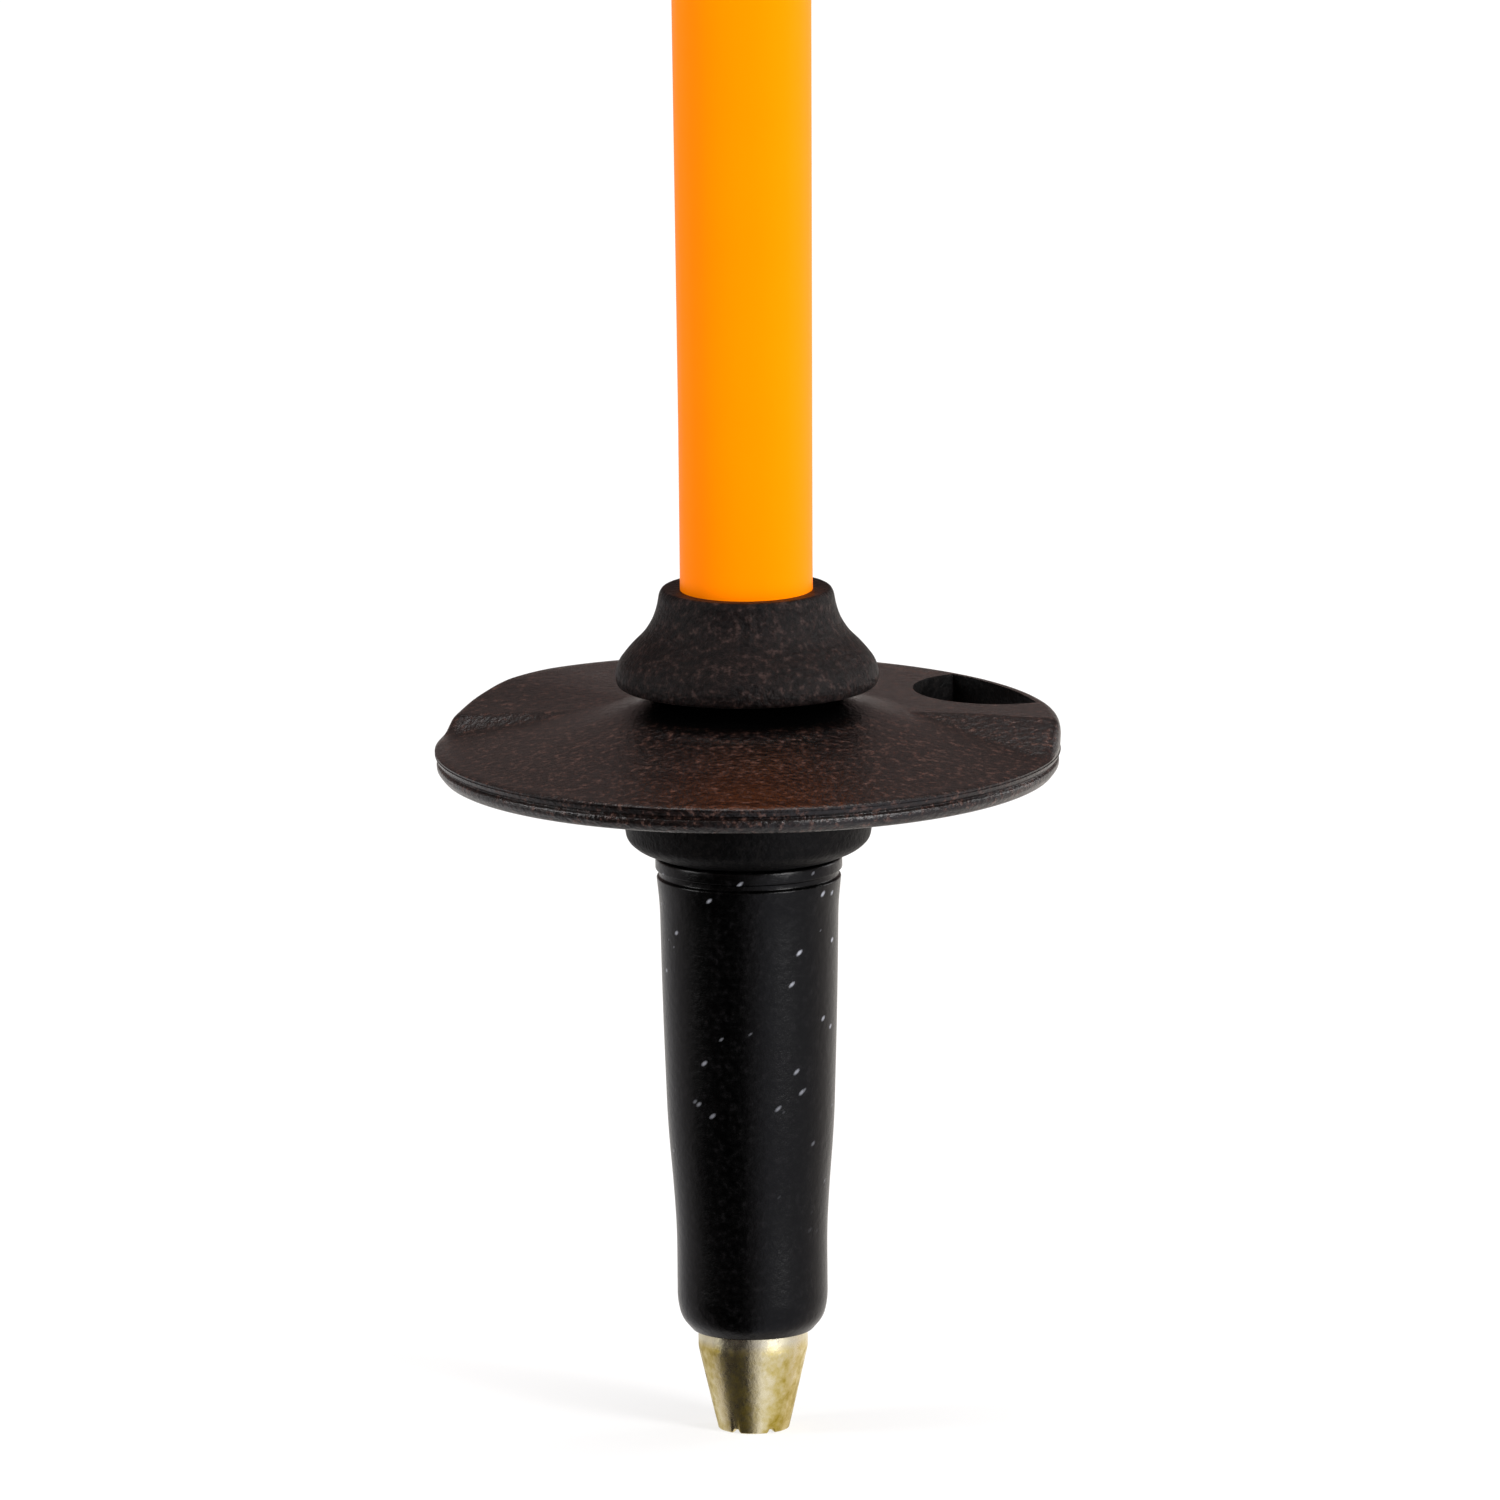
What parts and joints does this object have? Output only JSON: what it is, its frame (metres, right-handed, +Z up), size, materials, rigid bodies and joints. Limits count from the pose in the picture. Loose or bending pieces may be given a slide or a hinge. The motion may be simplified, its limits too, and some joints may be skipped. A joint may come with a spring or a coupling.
{
  "type": "ski pole",
  "caption": "Fixed-length tapered ski pole with a pointed ferrule, freely turning round basket, grip and swinging wrist strap.",
  "frame": {"origin": "where the point touches the ground, on the shaft's axis", "axes": "+Z up the shaft, +X to the front of the grip, -X to the side where the strap hangs"},
  "size_m": [0.1193, 0.0566, 1.2],
  "materials": {
    "carbide": "ground hard metal",
    "tip_plating": "yellow zinc plating on steel",
    "ferrule_nylon": "moulded, semi-gloss",
    "basket_moulding": "moulded, fine satin grain",
    "shaft_paint": "aluminium tube with smooth orange satin paint",
    "hard_plastic": "moulded, satin",
    "grip_rubber": "soft moulded rubber",
    "fastener_steel": "plain steel",
    "webbing": "woven polyester",
    "lining": "brushed knit"
  },
  "bodies": {
    "pole": {"carbide_insert": "carbide", "tip_point": "tip_plating", "ferrule": "ferrule_nylon", "basket_collar": "basket_moulding", "shaft": "shaft_paint", "shaft_top_plug": "hard_plastic", "grip_liner": "hard_plastic", "grip_sleeve": "grip_rubber", "grip_mouth_ring": "grip_rubber", "grip_head": "hard_plastic", "grip_cap": "hard_plastic", "cap_screw": "fastener_steel", "screw_cover": "hard_plastic", "strap_pin": "fastener_steel"},
    "basket": {"basket": "basket_moulding"},
    "strap": {"strap_webbing": "webbing", "strap_pad": "lining"},
    "slider": {"strap_slider": "hard_plastic"}
  },
  "joints": [
    {"name": "basket_spin", "type": "hinge", "parent": "pole", "child": "basket", "pos_m": [0, 0, 0.06], "axis": [0, 0, 1], "continuous": true},
    {"name": "strap_swing", "type": "hinge", "parent": "pole", "child": "strap", "pos_m": [-0.015, 0, 1.18], "axis": [0, 1, 0], "range_deg": [0, 90]},
    {"name": "slider_travel", "type": "slide", "parent": "strap", "child": "slider", "axis": [-0.7986, 0, -0.6018], "range_m": [0, 0.016]}
  ]
}
